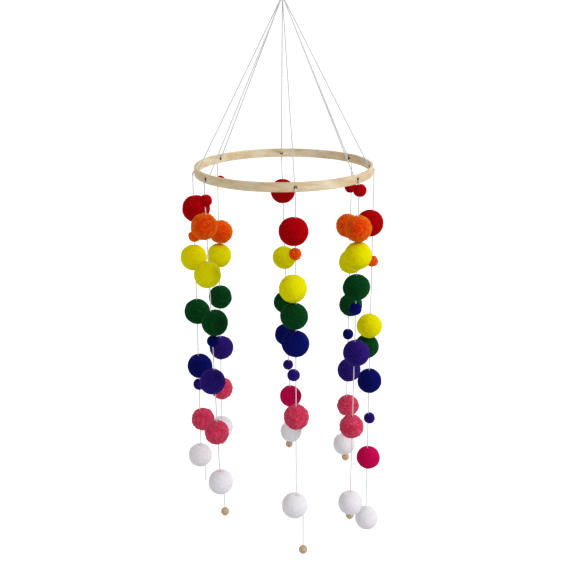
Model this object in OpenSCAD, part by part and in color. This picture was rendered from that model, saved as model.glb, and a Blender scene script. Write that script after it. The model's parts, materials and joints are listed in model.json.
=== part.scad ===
// Crib mobile: a bentwood hoop hung by eight cords, with eight strands of
// felted wool balls and turned wooden end beads. Millimetres.
// Origin: the point in the hanging loop where the hook bears. +Z is up,
// -Y is the front. Strands 1 to 8 run anticlockwise seen from above.

/* [Hoop] */
// Outer diameter of the hoop
hoop_d = 200; // [180:1:230]
// Height of the band
hoop_h = 10; // [8:0.5:16]
// Thickness of the band
hoop_t = 3.5; // [2.5:0.1:5]
// Rounding of the band's edges
hoop_edge_r = 0.7; // [0.3:0.1:1.2]
// Diameter of the holes drilled for the cords
hole_d = 2.2; // [2:0.1:3]

/* [Cords] */
// Diameter of the cord
cord_d = 1.2; // [0.8:0.05:1.3]
// Height from the hoop's middle to where the cords meet
hang_h = 181; // [140:1:260]
// Inside length of the hanging loop, hook to knot
loop_len = 40; // [25:1:80]
// Inside radius of the hanging loop's bow
loop_r = 7; // [4:0.5:12]
// Diameter of the hanging loop's cord
loop_d = 1.6; // [1.2:0.1:2]
// Diameter of the stopper knots
knot_d = 2.6; // [2.2:0.1:3]
// How far a stopper knot sits below its hole
knot_drop = 2.8; // [2.6:0.1:4]

/* [Balls] */
// Diameter of the large felt balls
ball_large = 29.5; // [24:0.5:32]
// Diameter of the small felt balls
ball_small = 13.8; // [11:0.1:18]
// Diameter of the wooden end beads
bead_d = 10; // [8:0.5:12]
// Height of a bead between its flats
bead_h = 8.8; // [7:0.1:9.5]

/* [Strand 1, front] */
// Position around the hoop, degrees
angle_1 = 4.5; // [0:0.5:12]
// Lean of the strand, degrees
lean_1 = -0.1; // [-1.5:0.1:1.5]
// Clear cord above the red, orange, yellow and green balls
gaps_a_1 = [28, 2.5, 16.5, 1.5]; // [0.5:0.5:60]
// Clear cord above the blue, violet, pink and white balls
gaps_b_1 = [2, 15.5, 29.5, 84.5]; // [0.5:0.5:90]
// How far the red to green balls sit off the cord
off_a_1 = [-2.2, -0.6, -3, -1.9]; // [-4:0.1:4]
// How far the blue to white balls sit off the cord
off_b_1 = [-0.4, -2.6, 0.3, -1.8]; // [-4:0.1:4]
// Clear cord between the white ball and the end bead
tail_1 = 41.5; // [0.5:0.5:60]
// How far the tail leaves the white ball to the side
skew_1 = 8; // [0:0.5:9]

/* [Strand 2, front right] */
// Position around the hoop, degrees
angle_2 = 49; // [42:0.5:54]
// Lean of the strand, degrees
lean_2 = -0.4; // [-1.5:0.1:1.5]
// Clear cord above the red, orange, yellow and green balls
gaps_a_2 = [2, 20, 0.5, 7]; // [0.5:0.5:60]
// Clear cord above the blue, violet, pink and white balls
gaps_b_2 = [3.5, 31.5, 63.5, 71]; // [0.5:0.5:90]
// How far the red to green balls sit off the cord
off_a_2 = [0.9, 0.2, 0.8, 0.1]; // [-4:0.1:4]
// How far the blue to white balls sit off the cord
off_b_2 = [-0.3, 2.1, -1, -0.2]; // [-4:0.1:4]
// Clear cord between the white ball and the end bead
tail_2 = 0.5; // [0.5:0.5:60]
// How far the tail leaves the white ball to the side
skew_2 = 0; // [0:0.5:9]
// How far the white ball hangs in front of the cord
front_2 = 4; // [0:0.5:9.5]

/* [Strand 3, right] */
// Position around the hoop, degrees
angle_3 = 90; // [82:0.5:98]
// Lean of the strand, degrees
lean_3 = 0.2; // [-1.5:0.1:1.5]
// Clear cord above the red, orange, yellow and green balls
gaps_a_3 = [47.5, 24.5, 58, 0.5]; // [0.5:0.5:60]
// Clear cord above the blue, violet, pink and white balls
gaps_b_3 = [15, 29.5, 34.5, 53.5]; // [0.5:0.5:90]
// How far the red to green balls sit off the cord
off_a_3 = [-3.2, 0.5, -1.8, -3.5]; // [-4:0.1:4]
// How far the blue to white balls sit off the cord
off_b_3 = [0.4, 1.5, 1.3, -0.6]; // [-4:0.1:4]
// Clear cord between the white ball and the end bead
tail_3 = 0.5; // [0.5:0.5:60]
// How far the tail leaves the white ball to the side
skew_3 = 0; // [0:0.5:9]
// How far the white ball hangs in front of the cord
front_3 = 9.5; // [0:0.5:9.5]
// How far the yellow ball hangs in front of the cord, and the green one behind
nest_3 = 4; // [0:0.5:4]

/* [Strand 4, back right] */
// Position around the hoop, degrees
angle_4 = 125; // [124:0.5:140]
// Lean of the strand, degrees
lean_4 = -0.2; // [-1.5:0.1:1.5]
// Clear cord above the red, orange, yellow and green balls
gaps_a_4 = [26, 26.5, 16.5, 27.5]; // [0.5:0.5:60]
// Clear cord above the blue, violet, pink and white balls
gaps_b_4 = [18.5, 28.5, 22, 27.5]; // [0.5:0.5:90]
// How far the red to green balls sit off the cord
off_a_4 = [-1.1, -2.9, 1.5, 2.6]; // [-4:0.1:4]
// How far the blue to white balls sit off the cord
off_b_4 = [-0.1, 2.3, 1.9, -1.8]; // [-4:0.1:4]
// Clear cord between the white ball and the end bead
tail_4 = 0.5; // [0.5:0.5:60]
// How far the tail leaves the white ball to the side
skew_4 = 0; // [0:0.5:9]

/* [Strand 5, back] */
// Position around the hoop, degrees
angle_5 = 179.5; // [175:0.5:187]
// Lean of the strand, degrees
lean_5 = 1.5; // [-1.5:0.1:1.5]
// Clear cord above the red, orange, yellow and green balls
gaps_a_5 = [31.5, 26.5, 17.5, 31.5]; // [0.5:0.5:60]
// Clear cord above the blue, violet, pink and white balls
gaps_b_5 = [16.5, 22.5, 25.5, 24.5]; // [0.5:0.5:90]
// How far the red to green balls sit off the cord
off_a_5 = [0, -0.1, -1.1, -2.3]; // [-4:0.1:4]
// How far the blue to white balls sit off the cord
off_b_5 = [-2.5, -1.1, 0.8, -0.4]; // [-4:0.1:4]
// Clear cord between the white ball and the end bead
tail_5 = 0.5; // [0.5:0.5:60]
// How far the tail leaves the white ball to the side
skew_5 = -3.5; // [-9:0.5:0]

/* [Strand 6, back left] */
// Position around the hoop, degrees
angle_6 = 229; // [222:0.5:235]
// Lean of the strand, degrees
lean_6 = -1; // [-1.5:0.1:1.5]
// Clear cord above the red, orange, yellow and green balls
gaps_a_6 = [18, 41.5, 0.5, 25.5]; // [0.5:0.5:60]
// Clear cord above the blue, violet, pink and white balls
gaps_b_6 = [12.5, 13.5, 28.5, 27.5]; // [0.5:0.5:90]
// How far the red to green balls sit off the cord
off_a_6 = [2.6, 2.7, 0.2, 0.7]; // [-4:0.1:4]
// How far the blue to white balls sit off the cord
off_b_6 = [-1.3, 1.1, 0.5, -0.5]; // [-4:0.1:4]
// Clear cord between the white ball and the end bead
tail_6 = 0.5; // [0.5:0.5:60]
// How far the tail leaves the white ball to the side
skew_6 = 0; // [0:0.5:9]

/* [Strand 7, left] */
// Position around the hoop, degrees
angle_7 = 275; // [266:0.5:278]
// Lean of the strand, degrees
lean_7 = -0.8; // [-1.5:0.1:1.5]
// Clear cord above the red, orange, yellow and green balls
gaps_a_7 = [25, 10.5, 3.5, 36.5]; // [0.5:0.5:60]
// Clear cord above the blue, violet, pink and white balls
gaps_b_7 = [40.5, 2.5, 25.5, 20.5]; // [0.5:0.5:90]
// How far the red to green balls sit off the cord
off_a_7 = [2.5, -0.3, -1.7, 0.4]; // [-4:0.1:4]
// How far the blue to white balls sit off the cord
off_b_7 = [1.7, -0.2, 3.6, -1.1]; // [-4:0.1:4]
// Clear cord between the white ball and the bare end knot
tail_7 = 20; // [0.5:0.5:60]
// How far the tail leaves the white ball to the side
skew_7 = 4.5; // [0:0.5:9]

/* [Strand 8, front left] */
// Position around the hoop, degrees
angle_8 = 301.5; // [300:0.5:318]
// Lean of the strand, degrees
lean_8 = 0.8; // [-1.5:0.1:1.5]
// Clear cord above the red, orange, yellow and green balls
gaps_a_8 = [13.5, 6.5, 25.5, 27.5]; // [0.5:0.5:60]
// Clear cord above the blue, violet, pink and white balls
gaps_b_8 = [0.5, 28.5, 36.5, 37.5]; // [0.5:0.5:90]
// How far the red to green balls sit off the cord
off_a_8 = [0.7, -2.4, -1.6, 3.7]; // [-4:0.1:4]
// How far the blue to white balls sit off the cord
off_b_8 = [0.3, -2.6, -0.8, 0.7]; // [-4:0.1:4]
// Clear cord between the white ball and the end bead
tail_8 = 22.5; // [0.5:0.5:60]
// How far the tail leaves the white ball to the side
skew_8 = 4; // [0:0.5:9]

/* [Hidden] */
$fn = 64;
strands = 8;
cord_r = cord_d / 2;
// radial clearance of a cord in a bore made for it
clear = 0.05;
// a bend is a little thicker than the cord, where the plies open
bend_r = cord_r + 0.02;
// how far a cord bends clear of the wood at each end of its hole
bend_gap = 0.1;
// overlap that lets two cuts meet cleanly
eps = 0.5;
hoop_r = hoop_d / 2;
hole_r = hole_d / 2;
// the cord bears on the top of its hole inside the band, and on the bottom outside
cord_rise = hole_r - cord_r - clear;
// eight cords side by side fill a ring of this radius
bundle_r = 1.5 * cord_d;
gather_bore_r = bundle_r + cord_r + clear;
gather_wall = 1.3;
gather_r = gather_bore_r + gather_wall;
gather_h = 7;
gather_round = 1;
loop_knot_r = 3;
loop_knot_z = -(loop_len + loop_knot_r);
// the gathering knot is tied right under the loop's knot
gather_z = loop_knot_z - loop_knot_r - clear - gather_h / 2;
gather_bottom = gather_z - gather_h / 2;
// the ring of cord ends that meets the underside of the loop's knot
bundle_top = loop_knot_z - sqrt(pow(loop_knot_r, 2) - pow(bundle_r - cord_r, 2)) - clear;
hoop_z = gather_bottom - hang_h;
// the legs of the loop run straight from its bow to the knot
loop_foot_in = 1.2;
loop_foot_z = -(loop_len + loop_foot_in);
loop_foot_r = loop_d / 2 + 0.15;
loop_joint_r = loop_d / 2 + 0.03;
// the socket in the knot leaves the loop room to swing
socket_gap = 0.9;
loop_socket_r = loop_foot_r + socket_gap;
socket_floor = 0.1;
// a stopper knot rides clear of the band's outer face
knot_gap = 0.4;
knot_out = knot_d / 2 + knot_gap;
pivot_z = hoop_z - knot_drop;
bead_bore_r = cord_r + clear;
end_knot_r = 1.2;
// how far above the underside of a white ball a slanting tail comes out
exit_rise = 1;
ball_bore_r = cord_r + clear;

angles = [angle_1, angle_2, angle_3, angle_4, angle_5, angle_6, angle_7, angle_8];
leans = [lean_1, lean_2, lean_3, lean_4, lean_5, lean_6, lean_7, lean_8];
gaps = [
    concat(gaps_a_1, gaps_b_1), concat(gaps_a_2, gaps_b_2),
    concat(gaps_a_3, gaps_b_3), concat(gaps_a_4, gaps_b_4),
    concat(gaps_a_5, gaps_b_5), concat(gaps_a_6, gaps_b_6),
    concat(gaps_a_7, gaps_b_7), concat(gaps_a_8, gaps_b_8)
];
offs = [
    concat(off_a_1, off_b_1), concat(off_a_2, off_b_2),
    concat(off_a_3, off_b_3), concat(off_a_4, off_b_4),
    concat(off_a_5, off_b_5), concat(off_a_6, off_b_6),
    concat(off_a_7, off_b_7), concat(off_a_8, off_b_8)
];
tails = [tail_1, tail_2, tail_3, tail_4, tail_5, tail_6, tail_7, tail_8];
skews = [skew_1, skew_2, skew_3, skew_4, skew_5, skew_6, skew_7, skew_8];
centred = [0, 0, 0, 0, 0, 0, 0, 0];
fronts = [
    centred, [0, 0, 0, 0, 0, 0, 0, front_2], [0, 0, nest_3, -nest_3, 0, 0, 0, front_3],
    centred, centred, centred, centred, centred
];

// odd strands carry small orange and violet balls, even ones small red and blue
odd_sizes = [
    ball_large, ball_small, ball_large, ball_large,
    ball_large, ball_small, ball_large, ball_large
];
even_sizes = [
    ball_small, ball_large, ball_large, ball_large,
    ball_small, ball_large, ball_large, ball_large
];
colours = ["#b0101a", "#f06a10", "#e6dc00", "#0c5a24", "#101090", "#30148a", "#d83868", "#e8e6ea"];

function size(s, i) = (s % 2 == 1 ? odd_sizes : even_sizes)[i];
// depth of ball i's centre below the pivot of strand s
function depth(s, i) =
    i == 0 ? max(gaps[s - 1][0], knot_d / 2 + clear) + size(s, 0) / 2
    : depth(s, i - 1) + size(s, i - 1) / 2 + gaps[s - 1][i] + size(s, i) / 2;
function white_top(s) = depth(s, 7) - size(s, 7) / 2;
function white_bottom(s) = depth(s, 7) + size(s, 7) / 2;
// where the tail of strand s leaves the white ball, level with its lower side
function exit_depth(s) =
    white_bottom(s) - (skews[s - 1] != 0 ? exit_rise : 0);
// a bead beside an off-centre white ball rests against its curve
function bead_depth(s) =
    fronts[s - 1][7] > 0
    ? depth(s, 7) + sqrt(pow((size(s, 7) + bead_d) / 2 + tails[s - 1], 2) - pow(fronts[s - 1][7], 2))
    : white_bottom(s) + tails[s - 1] + bead_h / 2;

// a straight run of cord between two points
module run(a, b, r) {
    d = b - a;
    flat = norm([d[0], d[1]]);
    translate(a)
        rotate([0, atan2(flat, d[2]), atan2(d[1], d[0])])
            cylinder(h = norm(d), r = r);
}

// a run of cord through several points, thickened a little at each bend
module cord(points, r) {
    for (i = [0 : len(points) - 2]) run(points[i], points[i + 1], r);
    for (i = [1 : len(points) - 2]) translate(points[i]) sphere(r = r + bend_r - cord_r);
}

// places its children in the frame of strand s: pivot at the origin, cord along -Z
module strand(s) {
    rotate([0, 0, angles[s - 1]])
        translate([0, -(hoop_r + knot_out), pivot_z])
            rotate([0, 0, -angles[s - 1]])
                rotate([0, -leans[s - 1], 0])
                    children();
}

// the cord of strand s in its own frame, from the stopper knot to the end knot
function cord_points(s) =
    skews[s - 1] != 0
    ? [
        [0, 0, 0], [0, 0, -white_top(s)],
        [skews[s - 1], 0, -exit_depth(s)], [skews[s - 1], 0, -end_depth(s)]
    ]
    : [[0, 0, 0], [0, 0, -end_depth(s)]];
// strand 7 ends in a bare knot, the others in a knot under the bead
function end_depth(s) =
    s == 7 ? white_bottom(s) + tails[s - 1]
    : bead_depth(s) + bead_h / 2 + end_knot_r + clear;

module thread(s) {
    color("#e4e2de")
        strand(s) {
            cord(cord_points(s), cord_r);
            sphere(d = knot_d);
            translate([skews[s - 1], 0, -end_depth(s)]) sphere(r = end_knot_r);
        }
}

module ball(s, i) {
    color(colours[i])
        strand(s)
            difference() {
                translate([offs[s - 1][i], -fronts[s - 1][i], -depth(s, i)])
                    rotate([90, 0, 0])
                        sphere(d = size(s, i));
                if (i == 7 && skews[s - 1] != 0) {
                    run([0, 0, -white_top(s) + size(s, i)], [0, 0, -white_top(s)], ball_bore_r);
                    cord_bore(s);
                } else {
                    translate([0, 0, -depth(s, i) - size(s, i) / 2 - eps])
                        cylinder(h = size(s, i) + 2 * eps, r = ball_bore_r);
                }
            }
}

// the slanting hole through a white ball whose tail leaves at the side
module cord_bore(s) {
    run([0, 0, -white_top(s)], [skews[s - 1], 0, -exit_depth(s)], ball_bore_r);
    run([skews[s - 1], 0, -exit_depth(s)], [skews[s - 1], 0, -exit_depth(s) - size(s, 7)],
        ball_bore_r);
    translate([0, 0, -white_top(s)]) sphere(r = ball_bore_r + clear);
    translate([skews[s - 1], 0, -exit_depth(s)]) sphere(r = ball_bore_r + clear);
}

module bead(s) {
    color("#cfae84")
        strand(s)
            translate([skews[s - 1], 0, -bead_depth(s)])
                difference() {
                    intersection() {
                        sphere(d = bead_d);
                        cylinder(h = bead_h, r = bead_d, center = true);
                    }
                    cylinder(h = bead_h + 2 * eps, r = bead_bore_r, center = true);
                }
}

module hanging_loop() {
    // the bow's middle line, with the hook bearing on its inside at the origin
    bow = loop_r + loop_d / 2;
    bow_z = -loop_r;
    foot = abs(loop_foot_z - bow_z);
    slant = asin(bow / foot);
    color("#e4e2de") {
        translate([0, 0, bow_z])
            rotate([90, 0, 0])
                rotate([0, 0, -slant])
                    rotate_extrude(angle = 180 + 2 * slant)
                        translate([bow, 0]) circle(d = loop_d);
        for (side = [-1, 1]) {
            start = [side * bow * cos(slant), 0, bow_z - bow * sin(slant)];
            run(start, [0, 0, loop_foot_z], loop_d / 2);
            translate(start) sphere(r = loop_joint_r);
        }
        translate([0, 0, loop_foot_z]) sphere(r = loop_foot_r);
    }
}

module loop_knot() {
    color("#e4e2de")
        difference() {
            translate([0, 0, loop_knot_z]) sphere(r = loop_knot_r);
            translate([0, 0, loop_foot_z - loop_foot_r - socket_floor])
                cylinder(h = loop_knot_r, r = loop_socket_r);
        }
}

module gather_knot() {
    color("#e4e2de")
        translate([0, 0, gather_z])
            rotate_extrude()
                difference() {
                    union() {
                        translate([gather_bore_r, -gather_h / 2 + gather_round])
                            square([gather_wall, gather_h - 2 * gather_round]);
                        for (side = [-1, 1])
                            translate([gather_bore_r, side * (gather_h / 2 - gather_round)])
                                circle(r = gather_round);
                    }
                    translate([-gather_round, -gather_h])
                        square([gather_bore_r + gather_round, gather_h * 2]);
                }
}

// a point at a given angle around the vertical, counted from the front
function around(angle, r, z) = [r * sin(angle), -r * cos(angle), z];

// from the gathering knot to a hole, through it, and down to the stopper knot
module suspension_cord(s) {
    slot = angles[0] + (s - 1) * 360 / strands;
    a = angles[s - 1];
    knot = around(a, hoop_r + knot_out, pivot_z);
    bend = around(a, hoop_r + bend_r + bend_gap, hoop_z - cord_rise);
    reach = norm(knot - bend) - knot_d / 2 - clear;
    cord(
        [
            around(slot, bundle_r, bundle_top),
            around(slot, bundle_r, gather_bottom),
            around(a, hoop_r - hoop_t - bend_r - bend_gap, hoop_z + cord_rise),
            bend,
            bend + (knot - bend) * reach / norm(knot - bend)
        ],
        cord_r
    );
}

module suspension_cords() {
    color("#e4e2de")
        for (s = [1 : strands]) suspension_cord(s);
}

module hoop() {
    color("#d9c6a0")
        difference() {
            translate([0, 0, hoop_z])
                rotate_extrude($fn = 180)
                    translate([hoop_r - hoop_t, -hoop_h / 2])
                        band_section();
            for (s = [1 : strands])
                translate([0, 0, hoop_z])
                    rotate([90, 0, angles[s - 1]])
                        translate([0, 0, hoop_r - hoop_t - eps])
                            cylinder(h = hoop_t + 2 * eps, r = hole_r);
        }
}

// the band's section, with rounded edges
module band_section() {
    e = hoop_edge_r;
    translate([e, 0]) square([hoop_t - 2 * e, hoop_h]);
    translate([0, e]) square([hoop_t, hoop_h - 2 * e]);
    for (x = [e, hoop_t - e], y = [e, hoop_h - e])
        translate([x, y]) circle(r = e);
}

module thread_1() { thread(1); }
module red_pink_1() {
    ball(1, 0);
    ball(1, 6);
}
module orange_yellow_1() {
    ball(1, 1);
    ball(1, 2);
}
module green_1() { ball(1, 3); }
module blue_violet_1() {
    ball(1, 4);
    ball(1, 5);
}
module white_1() { ball(1, 7); }
module bead_1() { bead(1); }

module thread_2() { thread(2); }
module red_pink_2() {
    ball(2, 0);
    ball(2, 6);
}
module orange_yellow_2() {
    ball(2, 1);
    ball(2, 2);
}
module green_2() { ball(2, 3); }
module blue_violet_2() {
    ball(2, 4);
    ball(2, 5);
}
module white_2() { ball(2, 7); }
module bead_2() { bead(2); }

module thread_3() { thread(3); }
module red_pink_3() {
    ball(3, 0);
    ball(3, 6);
}
module orange_yellow_3() {
    ball(3, 1);
    ball(3, 2);
}
module green_3() { ball(3, 3); }
module blue_violet_3() {
    ball(3, 4);
    ball(3, 5);
}
module white_3() { ball(3, 7); }
module bead_3() { bead(3); }

module thread_4() { thread(4); }
module red_pink_4() {
    ball(4, 0);
    ball(4, 6);
}
module orange_yellow_4() {
    ball(4, 1);
    ball(4, 2);
}
module green_4() { ball(4, 3); }
module blue_violet_4() {
    ball(4, 4);
    ball(4, 5);
}
module white_4() { ball(4, 7); }
module bead_4() { bead(4); }

module thread_5() { thread(5); }
module red_pink_5() {
    ball(5, 0);
    ball(5, 6);
}
module orange_yellow_5() {
    ball(5, 1);
    ball(5, 2);
}
module green_5() { ball(5, 3); }
module blue_violet_5() {
    ball(5, 4);
    ball(5, 5);
}
module white_5() { ball(5, 7); }
module bead_5() { bead(5); }

module thread_6() { thread(6); }
module red_pink_6() {
    ball(6, 0);
    ball(6, 6);
}
module orange_yellow_6() {
    ball(6, 1);
    ball(6, 2);
}
module green_6() { ball(6, 3); }
module blue_violet_6() {
    ball(6, 4);
    ball(6, 5);
}
module white_6() { ball(6, 7); }
module bead_6() { bead(6); }

module thread_7() { thread(7); }
module red_pink_7() {
    ball(7, 0);
    ball(7, 6);
}
module orange_yellow_7() {
    ball(7, 1);
    ball(7, 2);
}
module green_7() { ball(7, 3); }
module blue_violet_7() {
    ball(7, 4);
    ball(7, 5);
}
module white_7() { ball(7, 7); }

module thread_8() { thread(8); }
module red_pink_8() {
    ball(8, 0);
    ball(8, 6);
}
module orange_yellow_8() {
    ball(8, 1);
    ball(8, 2);
}
module green_8() { ball(8, 3); }
module blue_violet_8() {
    ball(8, 4);
    ball(8, 5);
}
module white_8() { ball(8, 7); }
module bead_8() { bead(8); }

hanging_loop();
loop_knot();
gather_knot();
suspension_cords();
hoop();
thread_1();
red_pink_1();
orange_yellow_1();
green_1();
blue_violet_1();
white_1();
bead_1();
thread_2();
red_pink_2();
orange_yellow_2();
green_2();
blue_violet_2();
white_2();
bead_2();
thread_3();
red_pink_3();
orange_yellow_3();
green_3();
blue_violet_3();
white_3();
bead_3();
thread_4();
red_pink_4();
orange_yellow_4();
green_4();
blue_violet_4();
white_4();
bead_4();
thread_5();
red_pink_5();
orange_yellow_5();
green_5();
blue_violet_5();
white_5();
bead_5();
thread_6();
red_pink_6();
orange_yellow_6();
green_6();
blue_violet_6();
white_6();
bead_6();
thread_7();
red_pink_7();
orange_yellow_7();
green_7();
blue_violet_7();
white_7();
thread_8();
red_pink_8();
orange_yellow_8();
green_8();
blue_violet_8();
white_8();
bead_8();
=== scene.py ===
"""A felt-ball crib mobile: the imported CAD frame, dressed in felted wool, twisted cord and wood."""

import json
import math
import random

import bmesh
import bpy
import numpy as np
from mathutils import Matrix, Vector, noise


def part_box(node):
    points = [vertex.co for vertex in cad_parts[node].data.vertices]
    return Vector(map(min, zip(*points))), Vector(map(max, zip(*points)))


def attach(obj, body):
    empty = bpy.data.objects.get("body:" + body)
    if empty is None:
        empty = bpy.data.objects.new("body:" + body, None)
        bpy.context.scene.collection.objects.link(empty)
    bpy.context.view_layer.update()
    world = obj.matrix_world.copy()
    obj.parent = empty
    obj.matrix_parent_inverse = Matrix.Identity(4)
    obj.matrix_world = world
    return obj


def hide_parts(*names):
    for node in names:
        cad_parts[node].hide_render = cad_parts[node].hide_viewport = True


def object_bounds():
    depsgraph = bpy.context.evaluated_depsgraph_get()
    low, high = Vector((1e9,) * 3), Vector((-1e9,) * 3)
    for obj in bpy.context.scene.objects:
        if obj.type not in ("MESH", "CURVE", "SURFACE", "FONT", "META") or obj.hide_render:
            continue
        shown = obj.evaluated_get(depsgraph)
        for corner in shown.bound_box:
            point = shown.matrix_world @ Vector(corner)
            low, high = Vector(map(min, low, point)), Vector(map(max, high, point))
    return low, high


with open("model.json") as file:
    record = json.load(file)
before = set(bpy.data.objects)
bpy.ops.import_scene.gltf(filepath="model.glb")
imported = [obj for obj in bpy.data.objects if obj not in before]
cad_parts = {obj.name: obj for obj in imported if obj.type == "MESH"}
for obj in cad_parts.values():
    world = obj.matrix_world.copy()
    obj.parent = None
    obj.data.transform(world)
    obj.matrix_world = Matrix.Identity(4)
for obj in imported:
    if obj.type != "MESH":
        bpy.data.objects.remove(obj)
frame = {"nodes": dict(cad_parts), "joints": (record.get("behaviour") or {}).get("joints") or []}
CAD_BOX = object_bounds()

MM = 0.001
STRANDS = range(1, 9)
TWO_PI = 2 * math.pi
WHITE = (1.0, 1.0, 1.0)

# ball nodes, with the felts of their balls from the top one down
FELT_NODES = {
    "red_pink": ("red", "pink"),
    "orange_yellow": ("orange", "yellow"),
    "green": ("green",),
    "blue_violet": ("blue", "violet"),
    "white": ("white",),
}
# strands whose pink ball is a smooth, deep magenta
MAGENTA_STRANDS = (3, 5)

LOOP_CORD_R = 0.8 * MM
CORD_SIDES = 10
# the length of the short straight steps in which a cord is swept
CORD_STEP = 2.2 * MM
# the plies of a cord, and how far apart they follow one another along it
PLIES = 3
PLY_LENGTH = 1.35 * MM
# how far beyond the hoop's faces the cords in its holes are in shade
HOLE_SHADE = 0.7 * MM


# ---------------------------------------------------------------- node materials


class Nodes:
    """A short hand for building one material's node tree."""

    def __init__(self, name):
        self.material = bpy.data.materials.new(name)
        self.material.use_nodes = True
        self.tree = self.material.node_tree
        self.tree.nodes.clear()
        self.out = self.add("ShaderNodeOutputMaterial")
        self.shader = self.add("ShaderNodeBsdfPrincipled")
        self.link(self.shader, 0, self.out, 0)

    def add(self, kind, **values):
        node = self.tree.nodes.new(kind)
        for key, value in values.items():
            setattr(node, key, value)
        return node

    def link(self, a, a_socket, b, b_socket):
        self.tree.links.new(a.outputs[a_socket], b.inputs[b_socket])

    def coords(self, scale=(1, 1, 1)):
        source = self.add("ShaderNodeTexCoord")
        mapping = self.add("ShaderNodeMapping")
        mapping.inputs["Scale"].default_value = scale
        self.link(source, "Object", mapping, "Vector")
        return mapping

    def noise(self, at, scale, detail, roughness, distortion):
        node = self.add("ShaderNodeTexNoise")
        node.inputs["Scale"].default_value = scale
        node.inputs["Detail"].default_value = detail
        node.inputs["Roughness"].default_value = roughness
        node.inputs["Distortion"].default_value = distortion
        self.link(at, 0, node, "Vector")
        return node

    def ramp(self, source, socket, stops):
        node = self.add("ShaderNodeValToRGB")
        ramp = node.color_ramp
        while len(ramp.elements) < len(stops):
            ramp.elements.new(0.5)
        for element, (at, tone) in zip(ramp.elements, stops):
            element.position = at
            element.color = (*tone, 1)
        self.link(source, socket, node, "Fac")
        return node

    def mix(self, a, b, factor, mode="MIX"):
        """Mixes two colours. Each value is a plain one or a pair of a node and its socket."""
        node = self.add("ShaderNodeMix", data_type="RGBA", blend_type=mode)
        for value, socket in ((factor, 0), (a, 6), (b, 7)):
            if isinstance(value, tuple) and hasattr(value[0], "outputs"):
                self.link(value[0], value[1], node, socket)
            elif isinstance(value, tuple):
                node.inputs[socket].default_value = (*value, 1)
            else:
                node.inputs[socket].default_value = value
        return node

    def math(self, operation, a, b=None):
        node = self.add("ShaderNodeMath", operation=operation)
        for i, value in enumerate((a, b)):
            if value is None:
                continue
            if isinstance(value, tuple):
                self.link(value[0], value[1], node, i)
            else:
                node.inputs[i].default_value = value
        return node

    def bump(self, height, socket, distance, strength, after=None):
        node = self.add("ShaderNodeBump")
        node.inputs["Distance"].default_value = distance
        node.inputs["Strength"].default_value = strength
        self.link(height, socket, node, "Height")
        if after:
            self.link(after, 0, node, "Normal")
        return node

    def set(self, **values):
        for key, value in values.items():
            self.shader.inputs[key.replace("_", " ")].default_value = value


def colour(hex_code):
    """A screen colour as linear light."""
    parts = [int(hex_code[i : i + 2], 16) / 255 for i in (0, 2, 4)]
    return tuple(c / 12.92 if c <= 0.04045 else ((c + 0.055) / 1.055) ** 2.4 for c in parts)


def felt(name, main, dark, light, sheen, patchy, bump, rim_sheen_paint):
    """Felted wool: matted fibres, uneven dye, and painted sheen that lightens the ball towards
    its edge. patchy is how strongly the dye varies, bump how high the fibres stand in millimetres
    and the last how strongly the painted sheen lightens the ball towards its edge."""
    n = Nodes("felt_" + name)
    at = n.coords()
    cloud = n.noise(at, 110 + 150 * patchy, 3, 0.6, 1.0)
    fibre = n.noise(at, 620, 5, 0.62, 2.2)
    fine = n.noise(at, 2100, 3, 0.6, 1.2)
    patches = n.ramp(cloud, 0, [(0.36, dark), (0.56, main), (0.72, light)])
    body = n.mix(main, (patches, 0), patchy)
    streaks = n.ramp(fibre, 0, [(0.32, dark), (0.52, main), (0.74, light)])
    mixed = n.mix((body, 2), (streaks, 0), 0.5)
    # painted sheen: the colour turns lighter towards the ball's edge as the camera sees it
    facing = n.add("ShaderNodeLayerWeight")
    facing.inputs["Blend"].default_value = 0.35
    edge = n.math("MULTIPLY", (facing, "Facing"), rim_sheen_paint)
    rim_sheened_colour = n.mix((mixed, 2), light, (edge, 0))
    n.link(rim_sheened_colour, 2, n.shader, "Base Color")
    low = n.bump(fibre, 0, bump * 1.6 * MM, 0.9)
    high = n.bump(fine, 0, bump * 0.5 * MM, 0.7, after=low)
    n.link(high, 0, n.shader, "Normal")
    n.set(Roughness=0.95, Specular_IOR_Level=0.06, Sheen_Weight=sheen, Sheen_Roughness=0.45)
    n.shader.inputs["Sheen Tint"].default_value = (*light, 1)
    return n.material


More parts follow.
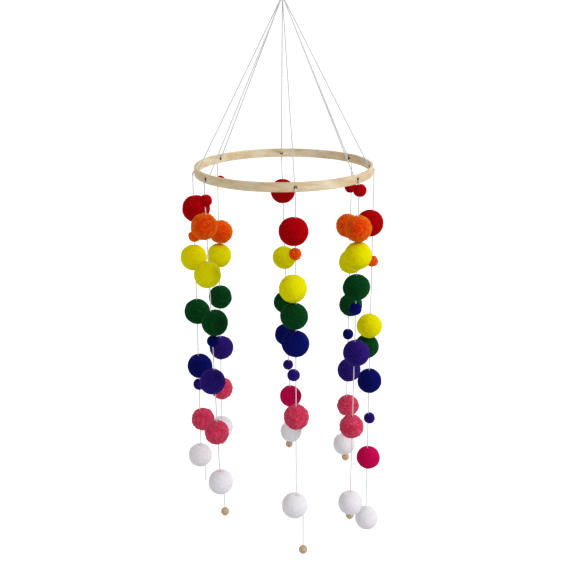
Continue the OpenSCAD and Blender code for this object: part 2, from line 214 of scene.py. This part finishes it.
def cord_material(name, painted_valley_shade, side, crown, drilled=False):
    """Twisted white cotton: the plies wind round the cord, with painted shade, a faint grey, in
    their valleys.
    A drilled one is in the shade where it runs through the hoop."""
    n = Nodes(name)
    source = n.add("ShaderNodeTexCoord")
    split = n.add("ShaderNodeSeparateXYZ")
    n.link(source, "UV", split, 0)
    around = n.math("MULTIPLY", (split, 0), PLIES)
    along = n.math("MULTIPLY", (split, 1), 1 / PLY_LENGTH)
    turn = n.math("ADD", (around, 0), (along, 0))
    phase = n.math("MULTIPLY", (turn, 0), TWO_PI)
    wave = n.math("SINE", (phase, 0))
    height = n.math("MULTIPLY_ADD", (wave, 0), 0.5)
    height.inputs[2].default_value = 0.5
    # painted shade: the cotton greys towards the valleys between its plies
    tone = n.ramp(height, 0, [(0.0, painted_valley_shade), (0.45, side), (1.0, crown)])
    n.link(tone, 0, n.shader, "Base Color")
    if drilled:
        place = n.add("ShaderNodeTexCoord")
        flat = n.add("ShaderNodeVectorMath", operation="MULTIPLY")
        flat.inputs[1].default_value = (1, 1, 0)
        n.link(place, "Object", flat, 0)
        reach = n.add("ShaderNodeVectorMath", operation="LENGTH")
        n.link(flat, 0, reach, 0)
        inside = n.math("COMPARE", (reach, "Value"), (HOOP_INNER + HOOP_OUTER) / 2)
        inside.inputs[2].default_value = (HOOP_OUTER - HOOP_INNER) / 2 + HOLE_SHADE
        shaded = n.mix((tone, 0), colour("2a1c14"), (inside, 0))
        n.link(shaded, 2, n.shader, "Base Color")
    fibre = n.noise(n.coords(), 2600, 3, 0.6, 1.0)
    plies = n.bump(height, 0, 0.1 * MM, 0.8)
    fuzz = n.bump(fibre, 0, 0.1 * MM, 0.6, after=plies)
    n.link(fuzz, 0, n.shader, "Normal")
    n.set(Roughness=0.9, Specular_IOR_Level=0.1, Sheen_Weight=0.05)
    return n.material


def hoop_material():
    """Pale bentwood: long grain running round the band, with darker pores and a waxy gleam."""
    n = Nodes("bentwood")
    source = n.add("ShaderNodeTexCoord")
    split = n.add("ShaderNodeSeparateXYZ")
    n.link(source, "Object", split, 0)
    # the break in the angle falls at the back of the hoop
    behind = n.math("MULTIPLY", (split, 1), -1.0)
    angle = n.math("ARCTAN2", (split, 0), (behind, 0))
    across = n.math("POWER", (split, 0), 2.0)
    deep = n.math("POWER", (split, 1), 2.0)
    squared = n.math("ADD", (across, 0), (deep, 0))
    radius = n.math("SQRT", (squared, 0))

    def along_band(metres_per_radian):
        """A place on the band unrolled, where the smaller the scale the longer the streaks."""
        place = n.add("ShaderNodeCombineXYZ")
        stretched = n.math("MULTIPLY", (angle, 0), metres_per_radian)
        n.link(stretched, 0, place, 0)
        n.link(radius, 0, place, 1)
        n.link(split, 2, place, 2)
        return place

    grain_at, cloud_at = along_band(0.007), along_band(0.035)
    grain = n.noise(grain_at, 900, 5, 0.65, 0.4)
    pores = n.noise(grain_at, 2600, 3, 0.7, 0.2)
    cloud = n.noise(cloud_at, 75, 2, 0.5, 0.6)
    streaks = n.ramp(grain, 0, [
        (0.3, colour("b49a74")), (0.46, colour("d8c49e")),
        (0.6, colour("eadcc0")), (0.78, colour("f6eedc")),
    ])
    tone = n.ramp(cloud, 0, [
        (0.34, colour("ccb084")), (0.55, colour("e4d4b4")), (0.72, colour("f4ecda")),
    ])
    base = n.mix((streaks, 0), (tone, 0), 0.45)
    dots = n.ramp(pores, 0, [(0.33, colour("8f6c42")), (0.42, WHITE)])
    pored = n.mix((base, 2), (dots, 0), 0.3, "MULTIPLY")
    # painted shade: each hole is darkened, in its bore and a little way round it
    distances = []
    for pivot in PIVOTS:
        out = Vector((pivot.x, pivot.y, 0)).normalized() * (HOOP_INNER + HOOP_OUTER) / 2
        away = n.add("ShaderNodeVectorMath", operation="DISTANCE")
        n.link(source, "Object", away, 0)
        away.inputs[1].default_value = (out.x, out.y, HOOP_MIDDLE.z)
        distances.append((away, "Value"))
    nearest = distances[0]
    for distance in distances[1:]:
        nearest = (n.math("MINIMUM", nearest, distance), 0)
    in_cm = n.math("MULTIPLY", nearest, 0.1 / MM)
    # painted shade: dark brown in the hole, fading out a little way round it
    painted_hole_shade = n.ramp(in_cm, 0, [(0.215, colour("24140c")), (0.235, colour("6a4a30")), (0.27, WHITE)])
    final = n.mix((pored, 2), (painted_hole_shade, 0), 1.0, "MULTIPLY")
    n.link(final, 2, n.shader, "Base Color")
    ridges = n.bump(grain, 0, 0.25 * MM, 0.5)
    pits = n.bump(pores, 0, 0.1 * MM, 0.5, after=ridges)
    n.link(pits, 0, n.shader, "Normal")
    gleam = n.ramp(grain, 0, [(0.3, (0.62, 0.62, 0.62)), (0.7, (0.48, 0.48, 0.48))])
    n.link(gleam, 0, n.shader, "Roughness")
    n.set(Specular_IOR_Level=0.35)
    return n.material


def bead_material():
    """Turned wood: growth rings cut through by the bead's curve, darker than the hoop."""
    n = Nodes("turned_wood")
    at = n.coords(scale=(1, 1, 0.45))
    rings = n.add("ShaderNodeTexWave", wave_type="RINGS", rings_direction="Z")
    rings.inputs["Scale"].default_value = 210
    rings.inputs["Distortion"].default_value = 2.5
    rings.inputs["Detail"].default_value = 3
    n.link(at, 0, rings, "Vector")
    grain = n.noise(n.coords(scale=(1, 1, 0.12)), 2400, 4, 0.65, 0.4)
    bands = n.ramp(rings, 0, [
        (0.1, colour("bca082")), (0.6, colour("d0b696")), (1.0, colour("dec8ac")),
    ])
    lines = n.ramp(grain, 0, [(0.34, colour("8e6a42")), (0.5, WHITE)])
    final = n.mix((bands, 0), (lines, 0), 0.4, "MULTIPLY")
    n.link(final, 2, n.shader, "Base Color")
    n.link(n.bump(grain, 0, 0.12 * MM, 0.6), 0, n.shader, "Normal")
    n.set(Roughness=0.5, Specular_IOR_Level=0.35)
    return n.material


# ---------------------------------------------------------------- reading the frame

# vertices of a CAD mesh nearer than this are one
SAME_POINT = 1e-7
# rings of a CAD cord's vertices lie at least this far apart in height
RING_GAP = 4 * MM


def islands(node):
    """The vertices of each separate solid in a CAD node, the highest solid first."""
    bm = bmesh.new()
    bm.from_mesh(frame["nodes"][node].data)
    bmesh.ops.remove_doubles(bm, verts=bm.verts, dist=SAME_POINT)
    found, seen = [], set()
    for start in bm.verts:
        if start in seen:
            continue
        group, queue = [], [start]
        seen.add(start)
        while queue:
            v = queue.pop()
            group.append(v.co.copy())
            for e in v.link_edges:
                other = e.other_vert(v)
                if other not in seen:
                    seen.add(other)
                    queue.append(other)
        found.append(np.array(group))
    bm.free()
    return sorted(found, key=lambda p: -p[:, 2].max())


def middle(points):
    """The middle of the box round some points."""
    return (points.min(0) + points.max(0)) / 2


def sphere_of(points):
    """Centre and radius of a CAD ball."""
    centre = middle(points)
    return Vector(centre), float(np.linalg.norm(points - centre, axis=1).max())


def path_of(points):
    """The middle line of a CAD cord that hangs down: the centre of each ring of its vertices."""
    rows = points[np.argsort(-points[:, 2])]
    cuts = np.where(-np.diff(rows[:, 2]) > RING_GAP)[0] + 1
    return [Vector(middle(ring)) for ring in np.split(rows, cuts)]


JOINTS = {j["name"]: j for j in frame["joints"]}
PIVOTS = [Vector(JOINTS[f"strand_{s}_swing"]["pos_m"]) for s in STRANDS]
HOOP_LOW, HOOP_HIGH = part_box("hoop")
HOOP_MIDDLE = (HOOP_LOW + HOOP_HIGH) / 2
hoop_points = np.array([v.co for v in frame["nodes"]["hoop"].data.vertices])
hoop_reach = np.linalg.norm(hoop_points[:, :2], axis=1)
HOOP_OUTER, HOOP_INNER = float(hoop_reach.max()), float(hoop_reach.min())
# the cords start with a level round end under the knot of the loop
cord_points = islands("suspension_cords")[0]
cord_end = cord_points[cord_points[:, 2] > cord_points[:, 2].max() - 0.01 * MM]
CORD_R = float(cord_end[:, 0].max() - cord_end[:, 0].min()) / 2


# felt: main, dark and light dye, sheen, patchiness, fibre height, painted sheen at the edge, and
# plumpness of its large balls
FELTS = {
    "red": ("b0000f", "5e0009", "d60a18", 0.08, 0.4, 0.3, 0.3, 1.04),
    "orange": ("fc4a0a", "c41c04", "ffa430", 0.15, 0.85, 0.75, 0.8, 1.01),
    "yellow": ("e4e004", "d4bc00", "f0f20c", 0.08, 0.35, 0.3, 0.3, 1.0),
    "green": ("0c441f", "062e16", "1e763c", 0.22, 0.55, 0.35, 0.3, 0.99),
    "blue": ("0f1464", "070a3c", "282e9c", 0.2, 0.55, 0.35, 0.3, 1.0),
    "violet": ("2f1b72", "1b0e4c", "553ca6", 0.2, 0.55, 0.35, 0.4, 1.01),
    "pink": ("e8456c", "a4163e", "fa92a6", 0.22, 0.9, 0.75, 0.3, 0.97),
    "magenta": ("cc0a5a", "96063c", "dc2e70", 0.12, 0.4, 0.35, 0.3, 0.98),
    "white": ("f0eef2", "dddae0", "fafafd", 0.15, 0.3, 0.35, 0.3, 0.99),
}
ROUGH_FELTS = ("orange", "pink")

FELT_MATERIALS = {
    name: felt(name, colour(main), colour(dark), colour(light), sheen, patchy, bump, rim_sheen_paint)
    for name, (main, dark, light, sheen, patchy, bump, rim_sheen_paint, _) in FELTS.items()
}
# cotton tones: painted shade greying the ply valleys and sides, up to the white crowns
COTTON = (colour("b8b8ba"), colour("dededf"), colour("f2f2f2"))
# the cords that carry the hoop are drawn tight and have greyed a little
TAUT_COTTON = (colour("b5b5b7"), colour("d7d7d8"), colour("e7e7e7"))
KNOTTED = (colour("c8c8c8"), colour("ececec"), colour("f8f8f8"))
CORD = cord_material("cotton_cord", *COTTON)
DRILLED_CORD = cord_material("cotton_cord_drilled", *TAUT_COTTON, drilled=True)
KNOT = cord_material("cotton_knot", *KNOTTED)
BENTWOOD = hoop_material()
TURNED_WOOD = bead_material()


# ---------------------------------------------------------------- mesh helpers

BEND_STEPS = 5


def new_piece(name, bm, material, body, *replaced, slot=None):
    """A smooth piece that rides on a body, in place of the CAD nodes it replaces."""
    mesh = bpy.data.meshes.new(name)
    bm.to_mesh(mesh)
    bm.free()
    mesh.materials.append(material)
    for p in mesh.polygons:
        p.use_smooth = True
    piece = bpy.data.objects.new(name, mesh)
    bpy.context.scene.collection.objects.link(piece)
    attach(piece, body)
    if replaced:
        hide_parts(*replaced)


def smooth_line(points, step):
    """Points at about equal steps along a broken line."""
    out = []
    for a, b in zip(points, points[1:]):
        count = max(1, round((b - a).length / step))
        out += [a.lerp(b, i / count) for i in range(count)]
    return out + [points[-1]]


def rounded_line(points, cut):
    """A broken line with its corners rounded, each bend starting a cut away from its corner."""
    out = [points[0]]
    for before, corner, after in zip(points, points[1:], points[2:]):
        back = (before - corner).normalized() * min(cut, (before - corner).length * 0.45)
        ahead = (after - corner).normalized() * min(cut, (after - corner).length * 0.45)
        for i in range(BEND_STEPS + 1):
            t = i / BEND_STEPS
            out.append(corner + back * (1 - t) ** 2 + ahead * t**2)
    return out + [points[-1]]


def join_rings(bm, low, high):
    """The faces between two neighbouring rings of vertices."""
    around = [(k, (k + 1) % len(low)) for k in range(len(low))]
    return [bm.faces.new((low[k], low[m], high[m], high[k])) for k, m in around]


def cap_ends(bm, rings):
    bm.faces.new(list(reversed(rings[0])))
    bm.faces.new(rings[-1])


def tube(bm, line, radius, sides, closed=False):
    """Sweeps a round section along a line, with u round the section and v along it in metres."""
    uv = bm.loops.layers.uv.verify()
    count = len(line)

    def point(i):
        return line[i % count] if closed else line[min(max(i, 0), count - 1)]

    forward = [(point(i + 1) - point(i - 1)).normalized() for i in range(count)]
    sides_along = [forward[0].orthogonal().normalized()]
    for f in forward[1:] + forward[:1]:
        last = sides_along[-1]
        sides_along.append((last - f * last.dot(f)).normalized())
    # a closed line comes back turned, so the difference is spread along it
    home, back = sides_along[0], sides_along.pop()
    slip = math.atan2(forward[0].dot(back.cross(home)), back.dot(home)) if closed else 0.0
    rings, length, lengths = [], 0.0, []
    for i, (p, f) in enumerate(zip(line, forward)):
        side = Matrix.Rotation(slip * i / count, 3, f) @ sides_along[i]
        up = f.cross(side)
        rings.append([
            bm.verts.new(p + (side * math.cos(a) + up * math.sin(a)) * radius)
            for a in (TWO_PI * k / sides for k in range(sides))
        ])
        if i:
            length += (p - line[i - 1]).length
        lengths.append(length)
    for i in range(count if closed else count - 1):
        j = (i + 1) % count
        low, high = lengths[i], lengths[i] + (line[j] - line[i]).length
        for k, face in enumerate(join_rings(bm, rings[i], rings[j])):
            u, next_u = k / sides, (k + 1) / sides
            corners = (u, low), (next_u, low), (next_u, high), (u, high)
            for loop, corner in zip(face.loops, corners):
                loop[uv].uv = corner
    if not closed:
        cap_ends(bm, rings)


def knot_line(centre, reach, axis, steps=48):
    """An overhand knot's line, drawn tight, about an axis."""
    turn = axis.to_track_quat("Z", "Y").to_matrix()

    def trefoil(t):
        x = math.sin(t) + 2 * math.sin(2 * t)
        y = math.cos(t) - 2 * math.cos(2 * t)
        return Vector((x, y, -1.3 * math.sin(3 * t)))

    angles = (TWO_PI * i / steps for i in range(steps))
    return [centre + turn @ (trefoil(t) * (reach / 3)) for t in angles]


# ---------------------------------------------------------------- felt balls

# the radius of an ordinary large ball, at which the felt has its normal number of lumps and hairs
LARGE_R = 14.75 * MM
# balls with a larger radius than this are large ones
LARGE_FROM = 10 * MM
LARGE_BALL_LEVEL, SMALL_BALL_LEVEL = 5, 4
# the dent where the cord goes in
DIMPLE_REACH = 2.2 * MM
DIMPLE_DEPTH = 0.9 * MM
# loose hairs on a large ball of rough and of smooth felt
ROUGH_HAIRS, SMOOTH_HAIRS = 260, 170
HAIR_PARTS = 3
HAIR_SECTION = (0, TWO_PI / 3, 2 * TWO_PI / 3)
# how deep a hair's root sits in the felt
HAIR_ROOT = 0.1 * MM


def felt_surface(direction, radius, seed, rough):
    """How far a hand-rolled ball's surface lies from its middle, in the given direction."""
    at = Vector(direction) + seed
    lumps = noise.noise(at * 1.1) * 0.03 + noise.noise(at * 2.3 + seed) * 0.018
    size = radius / LARGE_R
    mats = noise.noise(at * 6.5 * size) * 0.22 * MM + noise.noise(at * 14 * size) * 0.11 * MM
    if rough:
        tufts = noise.turbulence(at * 5.5 * size, 3, False)
        mats = mats * 1.5 + (tufts - 0.5) * 0.9 * MM
    return radius * (1 + lumps) + mats


def add_hairs(bm, rng, centre, surface, count, rough):
    """Loose wool fibres that lie along the surface and lift at one end."""
    for _ in range(count):
        out = Vector((rng.gauss(0, 1), rng.gauss(0, 1), rng.gauss(0, 1))).normalized()
        along = out.orthogonal().normalized()
        along.rotate(Matrix.Rotation(rng.uniform(0, TWO_PI), 3, out))
        length = rng.uniform(1.2, 3.2) * MM
        lift = rng.uniform(0.25, 0.9 if rough else 0.6) * MM
        width = rng.uniform(0.03, 0.055) * MM
        bend = out.cross(along) * rng.uniform(-0.8, 0.8) * MM
        points = []
        for k in range(HAIR_PARTS + 1):
            t = k / HAIR_PARTS
            spot = out + along * (length * t / surface(out)) + bend * (t * t / surface(out))
            spot.normalize()
            points.append(centre + spot * (surface(spot) - HAIR_ROOT + lift * t**1.5))
        rings = []
        for k, p in enumerate(points):
            f = (points[min(k + 1, HAIR_PARTS)] - points[max(k - 1, 0)]).normalized()
            a = f.orthogonal().normalized()
            b = f.cross(a)
            w = width * (1 - 0.25 * k)
            rings.append([
                bm.verts.new(p + (a * math.cos(c) + b * math.sin(c)) * w) for c in HAIR_SECTION
            ])
        for low, high in zip(rings, rings[1:]):
            join_rings(bm, low, high)
        cap_ends(bm, rings)


def felt_ball(name, centre, radius, ports, felt_name, body, node, slot):
    """One ball. ports are the directions in which the cord enters and leaves."""
    rng = random.Random(name)
    rough = felt_name in ROUGH_FELTS
    large = radius > LARGE_FROM
    plump = FELTS[felt_name][-1] if large else 1.0
    seed = Vector([rng.uniform(-50, 50) for _ in range(3)])
    # a pressed, hand-rolled form: a little squat or long, tilted at random
    axis = Vector((rng.gauss(0, 1), rng.gauss(0, 1), 1)).normalized()
    tilt = Matrix.Rotation(rng.uniform(0, TWO_PI), 3, axis)
    stretch = Vector([rng.uniform(-0.02, 0.03) for _ in range(3)])

    def surface(direction):
        local = tilt @ direction
        form = plump + sum(s * c * c for s, c in zip(stretch, local))
        reach = felt_surface(direction, radius * form, seed, rough)
        for port in ports:
            away = math.acos(max(-1, min(1, direction.dot(port)))) * radius / DIMPLE_REACH
            reach -= DIMPLE_DEPTH * math.exp(-away * away)
        return reach

    bm = bmesh.new()
    level = LARGE_BALL_LEVEL if large else SMALL_BALL_LEVEL
    bmesh.ops.create_icosphere(bm, subdivisions=level, radius=1)
    for v in bm.verts:
        direction = v.co.normalized()
        v.co = centre + direction * surface(direction)
    count = int((ROUGH_HAIRS if rough else SMOOTH_HAIRS) * (radius / LARGE_R) ** 2)
    add_hairs(bm, rng, centre, surface, count, rough)
    new_piece(name, bm, FELT_MATERIALS[felt_name], body, node, slot=slot)


# ---------------------------------------------------------------- strands

# how far a cord wavers sideways, and how far from its ends the waver is full
WAVER = 0.12 * MM
WAVER_EASE = 8 * MM
# how far from a corner a strand's cord starts to bend
STRAND_BEND = 1.5 * MM
# how far the knots at the top and the foot of a strand reach, and the cord they are tied in
STOPPER_KNOT = 0.85 * MM, 0.42 * MM
FOOT_KNOT = 0.75 * MM, 0.4 * MM
KNOT_SIDES = 8
# a bead's bore is this much wider than its cord, and its edges are eased by this much
BEAD_SLACK = 0.12 * MM
BEAD_EASE = 0.35 * MM
BEAD_SIDES = 40
BEAD_ARC_STEPS = 9


def waver(line, seed):
    """A hanging line with a slight natural waver that fades out at both ends."""
    top, bottom = line[0], line[-1]
    for p in line:
        ends = min((p - top).length, (p - bottom).length) / WAVER_EASE
        aside = Vector((noise.noise(p * 60 + seed), noise.noise(p * 60 - seed), 0))
        yield p + aside * (min(1, ends) * WAVER)


def ports_of(path, centre, radius):
    """The directions in which a broken line crosses a ball's surface."""
    ports = []
    for a, b in zip(path, path[1:]):
        run, to = b - a, a - centre
        half = run.dot(to)
        inside = half * half - run.length_squared * (to.length_squared - radius * radius)
        if inside <= 0:
            continue
        for sign in (-1, 1):
            t = (-half + sign * math.sqrt(inside)) / run.length_squared
            if -0.02 <= t <= 1.02:
                ports.append((to + run * t).normalized())
    return ports


def build_strand(s):
    """A strand's cord, its knots and its balls."""
    body = f"strand_{s}"
    path = path_of(islands(f"thread_{s}")[0])
    rng = random.Random(f"strand {s}")
    line = smooth_line(rounded_line(path, STRAND_BEND), CORD_STEP)
    bm = bmesh.new()
    tube(bm, list(waver(line, Vector((rng.uniform(0, 90), 0, 0)))), CORD_R, CORD_SIDES)
    new_piece(f"cord_{s}", bm, CORD, body, f"thread_{s}", slot="cord")

    # the stopper knot under the hoop and the knot at the foot of the cord
    down = (path[1] - path[0]).normalized()
    bm = bmesh.new()
    for end, (reach, cord_r) in ((path[0], STOPPER_KNOT), (path[-1], FOOT_KNOT)):
        tube(bm, knot_line(end, reach, down), cord_r, KNOT_SIDES, closed=True)
    new_piece(f"knots_{s}", bm, KNOT, body, slot="cord")

    for group, felts in FELT_NODES.items():
        node = f"{group}_{s}"
        for points, felt_name in zip(islands(node), felts):
            centre, radius = sphere_of(points)
            if felt_name == "pink" and s in MAGENTA_STRANDS:
                felt_name = "magenta"
            ports = ports_of(path, centre, radius)
            felt_ball(f"ball_{felt_name}_{s}", centre, radius, ports, felt_name, body, node, group)


def build_bead(s):
    """A turned bead with eased edges round its bore."""
    node = f"bead_{s}"
    low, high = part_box(node)
    centre = (low + high) / 2
    axis = Vector(JOINTS[f"bead_{s}_spin"]["axis"]).normalized()
    radius = (high.x - low.x + high.y - low.y) / 4
    half = (high.z - low.z) / 2
    bore, ease = CORD_R + BEAD_SLACK, BEAD_EASE
    flat = math.sqrt(max(radius * radius - half * half, 0))
    start = math.asin((half - ease * 0.3) / radius)
    # the upper half of the section: the eased edge of the bore, the flat end and the round side
    profile = [
        (bore, half - ease),
        (bore + ease * 0.3, half - ease * 0.3),
        (bore + ease, half),
        (max(flat - ease * 0.4, bore + ease * 1.2), half),
    ]
    angles = (start * (1 - i / BEAD_ARC_STEPS) for i in range(BEAD_ARC_STEPS + 1))
    profile += [(radius * math.cos(a), radius * math.sin(a)) for a in angles]
    profile += [(r, -z) for r, z in reversed(profile[:-1])]
    turn = axis.to_track_quat("Z", "Y").to_matrix()
    angles = [TWO_PI * k / BEAD_SIDES for k in range(BEAD_SIDES)]
    section = [(math.cos(a), math.sin(a)) for a in angles]
    bm = bmesh.new()
    rings = [
        [bm.verts.new(centre + turn @ Vector((r * x, r * y, z))) for x, y in section]
        for r, z in profile
    ]
    for low_ring, high_ring in zip(rings, rings[1:] + rings[:1]):
        join_rings(bm, high_ring, low_ring)
    bmesh.ops.recalc_face_normals(bm, faces=bm.faces)
    new_piece(f"end_bead_{s}", bm, TURNED_WOOD, f"end_bead_{s}", node, slot="bead_wood")


# ---------------------------------------------------------------- hoop, cords and hanging loop

# soft cords press closer together where they are gathered than the solid ones can
BUNDLE_SQUEEZE = Vector((0.6, 0.6, 1))
# how far inside and outside the band the cord's bends lie, and where it ends at its stopper knot
MOUTH_GAP = 0.7 * MM
BEND_GAP = 0.6 * MM
STOPPER_GAP = 0.9 * MM
# how far from a corner a carrying cord starts to bend
HOLE_BEND = 1.2 * MM
# the cord of the whipping, its pitch in cord radii, its steps in a turn, and how far it draws
# in at both ends
WHIPPING_R = 0.62 * MM
WHIPPING_PITCH = 1.95
WHIPPING_STEPS = 28
WHIPPING_TAPER = 0.24
# the steps round the loop's bow, and their length along its legs
BOW_STEPS = 40
LEG_STEP = 1.2 * MM
LOOP_SIDES = 14
LOOP_KNOT_SIDES = 12


def build_suspension():
    """Eight cords from the gathering knot, through the hoop's holes, to the stopper knots."""
    bm = bmesh.new()
    for points in islands("suspension_cords"):
        rows = points[np.argsort(-points[:, 2])]
        away = np.linalg.norm(rows[:, :2], axis=1)
        upper = rows[away < HOOP_INNER / 2]
        lower = rows[away >= HOOP_INNER / 2]
        out = Vector((*lower[:, :2].mean(0), 0)).normalized()
        top = upper[upper[:, 2] > upper[:, 2].max() - MM]
        throat = upper[upper[:, 2] < upper[:, 2].min() + MM]
        reach = lower[:, :2] @ np.array(out[:2])
        # the cord bears on the top edge of its hole inside the band, on the bottom edge outside
        mouth_z = lower[reach < HOOP_INNER, 2].min() + CORD_R
        bend_z = lower[reach > HOOP_OUTER, 2].max() - CORD_R
        bend = out * (HOOP_OUTER + BEND_GAP) + Vector((0, 0, bend_z))
        stopper = max(PIVOTS, key=out.dot)
        corners = [
            Vector(middle(top)) * BUNDLE_SQUEEZE,
            Vector(middle(throat)) * BUNDLE_SQUEEZE,
            out * (HOOP_INNER - MOUTH_GAP) + Vector((0, 0, mouth_z)),
            bend,
            bend.lerp(stopper, 1 - STOPPER_GAP / (stopper - bend).length),
        ]
        line = smooth_line(rounded_line(corners, HOLE_BEND), CORD_STEP)
        tube(bm, line, CORD_R, CORD_SIDES)
    new_piece("suspension_cords_twisted", bm, DRILLED_CORD, "ring", "suspension_cords", slot="cord")


def build_gather_knot():
    """Whipping: turns of cord wound tightly round the bundle, tucked under at both ends."""
    low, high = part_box("gather_knot")
    centre = (low + high) / 2
    height = high.z - low.z
    coil = (high.x - low.x) / 2 - WHIPPING_R
    turns = height / (WHIPPING_R * WHIPPING_PITCH)
    steps = int(turns * WHIPPING_STEPS)
    line = []
    for i in range(steps + 1):
        t = i / steps
        a = TWO_PI * turns * t
        reach = coil * (1 - WHIPPING_TAPER * (2 * t - 1) ** 4)
        z = low.z + WHIPPING_R + (height - 2 * WHIPPING_R) * t
        line.append(Vector((centre.x + math.cos(a) * reach, centre.y + math.sin(a) * reach, z)))
    bm = bmesh.new()
    tube(bm, line, WHIPPING_R, CORD_SIDES)
    new_piece("gather_whipping", bm, CORD, "ring", "gather_knot", slot="cord")


def build_loop():
    """The hanging loop and the knot that closes it."""
    low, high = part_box("hanging_loop")
    reach = (high.x - low.x) / 2 - LOOP_CORD_R
    bow_z = high.z - LOOP_CORD_R - reach
    foot = Vector((0, 0, low.z + LOOP_CORD_R + 0.15 * MM))
    slant = math.asin(reach / (bow_z - foot.z))
    angles = (-slant + (math.pi + 2 * slant) * i / BOW_STEPS for i in range(BOW_STEPS + 1))
    bow = [Vector((reach * math.cos(a), 0, bow_z + reach * math.sin(a))) for a in angles]
    up, down = smooth_line([foot, bow[0]], LEG_STEP), smooth_line([bow[-1], foot], LEG_STEP)
    bm = bmesh.new()
    tube(bm, up[:-1] + bow + down[1:], LOOP_CORD_R, LOOP_SIDES)
    new_piece("hanging_loop_cord", bm, CORD, "hanger", "hanging_loop", slot="cord")

    low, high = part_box("loop_knot")
    centre = Vector((0, 0, (low.z + high.z) / 2))
    radius = (high.x - low.x) / 2
    line = knot_line(centre, radius * 0.66, Vector((0, 1, 0.35)).normalized(), 72)
    bm = bmesh.new()
    tube(bm, line, radius * 0.36, LOOP_KNOT_SIDES, closed=True)
    new_piece("loop_overhand_knot", bm, CORD, "top_knot", "loop_knot", slot="cord")


def dress_hoop():
    """The hoop keeps its CAD shape, in bentwood."""
    hoop = frame["nodes"]["hoop"]
    if not hoop.data.materials:
        hoop.data.materials.append(BENTWOOD)
    for material_slot in hoop.material_slots:
        material_slot.link = "OBJECT"
        material_slot.material = BENTWOOD


dress_hoop()
build_loop()
build_gather_knot()
build_suspension()
for s in STRANDS:
    build_strand(s)
    if f"bead_{s}" in frame["nodes"]:
        build_bead(s)


# ---------------------------------------------------------------- studio

# the surround and the floor look white, and light the object less than they show
AMBIENT = 0.5
FLOOR_LIGHT = 0.58
SEEN = 1.0
# the floor's radius and how far it lies under the object, in metres
FLOOR_RADIUS = 400
FLOOR_DROP = 0.45
# each lamp's place from the middle of the object, its size in metres and its power in watts
LAMPS = {
    "key": ((2.1, -1.1, 1.5), 0.8, 34),
    "fill": ((-1.9, -1.6, 0.3), 1.6, 4),
    "rim": ((0.9, 1.9, 1.2), 1.2, 8),
}
# the camera's place from the middle of the hoop, in hoop radii, and its angles in degrees
CAMERA_PLACE = (-0.343, -9.34, 1.85)
PITCH, YAW, ROLL = 19.3, 2.33, -0.4
LENS = 52.6
NEAR = 0.01


def area_light(name, location, target, size, power):
    data = bpy.data.lights.new(name, "AREA")
    data.shape = "DISK"
    data.size = size
    data.energy = power
    lamp = bpy.data.objects.new(name, data)
    lamp.location = location
    lamp.rotation_euler = (Vector(target) - Vector(location)).to_track_quat("-Z", "Y").to_euler()
    bpy.context.scene.collection.objects.link(lamp)


def seen_or_lighting(tree, lighting, seen):
    """A strength that differs between what the camera sees and what lights the object."""
    path = tree.nodes.new("ShaderNodeLightPath")
    level = tree.nodes.new("ShaderNodeMapRange")
    level.inputs["To Min"].default_value = lighting
    level.inputs["To Max"].default_value = seen
    tree.links.new(path.outputs["Is Camera Ray"], level.inputs["Value"])
    return level.outputs["Result"]


def build_studio():
    """A plain pale floor and surround, and three soft lamps."""
    low, high = CAD_BOX
    target = (low + high) / 2
    bm = bmesh.new()
    bmesh.ops.create_circle(bm, cap_ends=True, segments=64, radius=FLOOR_RADIUS)
    mesh = bpy.data.meshes.new("floor")
    bm.to_mesh(mesh)
    bm.free()
    floor = bpy.data.objects.new("floor", mesh)
    floor.location.z = low.z - FLOOR_DROP
    bpy.context.scene.collection.objects.link(floor)
    n = Nodes("floor_white")
    n.set(Base_Color=(0, 0, 0, 1), Roughness=1.0, Specular_IOR_Level=0.0)
    n.shader.inputs["Emission Color"].default_value = (*WHITE, 1)
    glow = seen_or_lighting(n.tree, FLOOR_LIGHT, SEEN)
    n.tree.links.new(glow, n.shader.inputs["Emission Strength"])
    mesh.materials.append(n.material)

    world = bpy.data.worlds.new("studio")
    world.use_nodes = True
    tree = world.node_tree
    background = tree.nodes["Background"]
    background.inputs["Color"].default_value = (*WHITE, 1)
    tree.links.new(seen_or_lighting(tree, AMBIENT, SEEN), background.inputs["Strength"])
    bpy.context.scene.world = world

    for name, (place, size, power) in LAMPS.items():
        area_light(name, target + Vector(place), target, size, power)
    bpy.context.scene.view_settings.view_transform = "Standard"
    bpy.context.scene.view_settings.look = "Medium High Contrast"


def build_camera():
    """A short telephoto a little above the hoop, looking down at the strands."""
    data = bpy.data.cameras.new("camera")
    data.sensor_width = 36
    data.lens = LENS
    data.clip_start, data.clip_end = NEAR, 2 * FLOOR_RADIUS
    cam = bpy.data.objects.new("camera", data)
    bpy.context.scene.collection.objects.link(cam)
    pitch, yaw, roll = math.radians(PITCH), math.radians(YAW), math.radians(ROLL)
    level = Vector((math.sin(yaw), math.cos(yaw), 0))
    forward = level * math.cos(pitch) + Vector((0, 0, -math.sin(pitch)))
    across = Vector((math.cos(yaw), -math.sin(yaw), 0))
    above = across.cross(forward)
    right = across * math.cos(roll) + above * math.sin(roll)
    up = above * math.cos(roll) - across * math.sin(roll)
    place = Matrix((right, up, -forward)).transposed().to_4x4()
    place.translation = HOOP_MIDDLE + Vector(CAMERA_PLACE) * HOOP_OUTER
    cam.matrix_world = place
    bpy.context.scene.camera = cam


build_studio()
build_camera()
